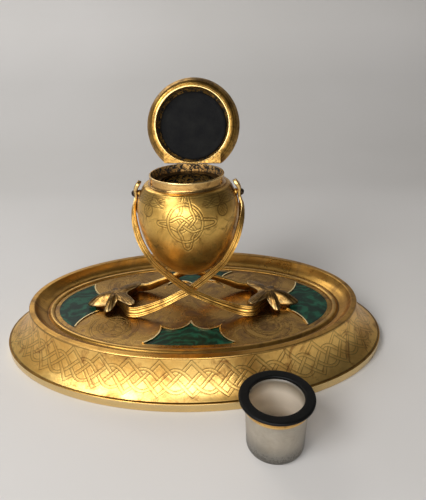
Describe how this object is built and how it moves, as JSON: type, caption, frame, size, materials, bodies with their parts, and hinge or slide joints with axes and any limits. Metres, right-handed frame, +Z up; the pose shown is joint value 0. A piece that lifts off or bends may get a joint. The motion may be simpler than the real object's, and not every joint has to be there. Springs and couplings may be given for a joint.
{
  "type": "desk inkstand",
  "caption": "Oval gilt bronze desk inkstand: a tray inlaid with malachite, a round engraved inkpot hung on trunnions in crossed straps, a hinged lid and a glass liner standing beside it.",
  "frame": {"origin": "centre of the tray's underside, on the desk", "axes": "+X along the tray to the right, -Y towards the front with the liner, +Z up"},
  "size_m": [0.3, 0.236, 0.1932],
  "materials": {
    "gilt_bronze": "gilded cast bronze, engraved, worn to brown in the hollows",
    "floor_gilt": "gilding dulled and tarnished, brushed",
    "malachite": "polished banded stone",
    "dark_iron": "blackened, worn",
    "black_pad": "matt felted pad",
    "frosted_glass": "thick glass, ground and ink stained",
    "black_ring": "moulded black ring, rubbed"
  },
  "bodies": {
    "base": {"base_casting": "gilt_bronze", "tray_floor": "floor_gilt", "malachite_front": "malachite", "malachite_back": "malachite", "malachite_left": "malachite", "malachite_right": "malachite", "floor_screws": "floor_gilt", "strap_left": "gilt_bronze", "strap_right": "gilt_bronze", "leaf_clip_left": "gilt_bronze", "leaf_clip_right": "gilt_bronze", "leaf_screws": "floor_gilt"},
    "pot": {"pot_body": "gilt_bronze", "neck_ring": "gilt_bronze", "liner_seat": "floor_gilt", "trunnion_studs": "dark_iron", "trunnion_washers": "floor_gilt", "trunnion_nuts": "dark_iron", "hinge_bracket": "gilt_bronze", "hinge_pin": "floor_gilt"},
    "lid": {"lid_shell": "gilt_bronze", "lid_hinge_leaf": "gilt_bronze", "lid_pad": "black_pad"},
    "liner": {"glass_liner": "frosted_glass", "liner_collar": "gilt_bronze", "liner_ring": "black_ring"}
  },
  "joints": [
    {"name": "pot_tilt", "type": "hinge", "parent": "base", "child": "pot", "pos_m": [0, 0, 0.119], "axis": [1, 0, 0], "range_deg": [-2.5, 2.5]},
    {"name": "lid_hinge", "type": "hinge", "parent": "pot", "child": "lid", "pos_m": [0.00218, 0.03122, 0.13], "axis": [0.9976, -0.0698, 0], "range_deg": [0, 107]},
    {"name": "liner_lift", "type": "slide", "parent": "base", "child": "liner", "axis": [0, 0, 1], "range_m": [0, 0.08]}
  ]
}
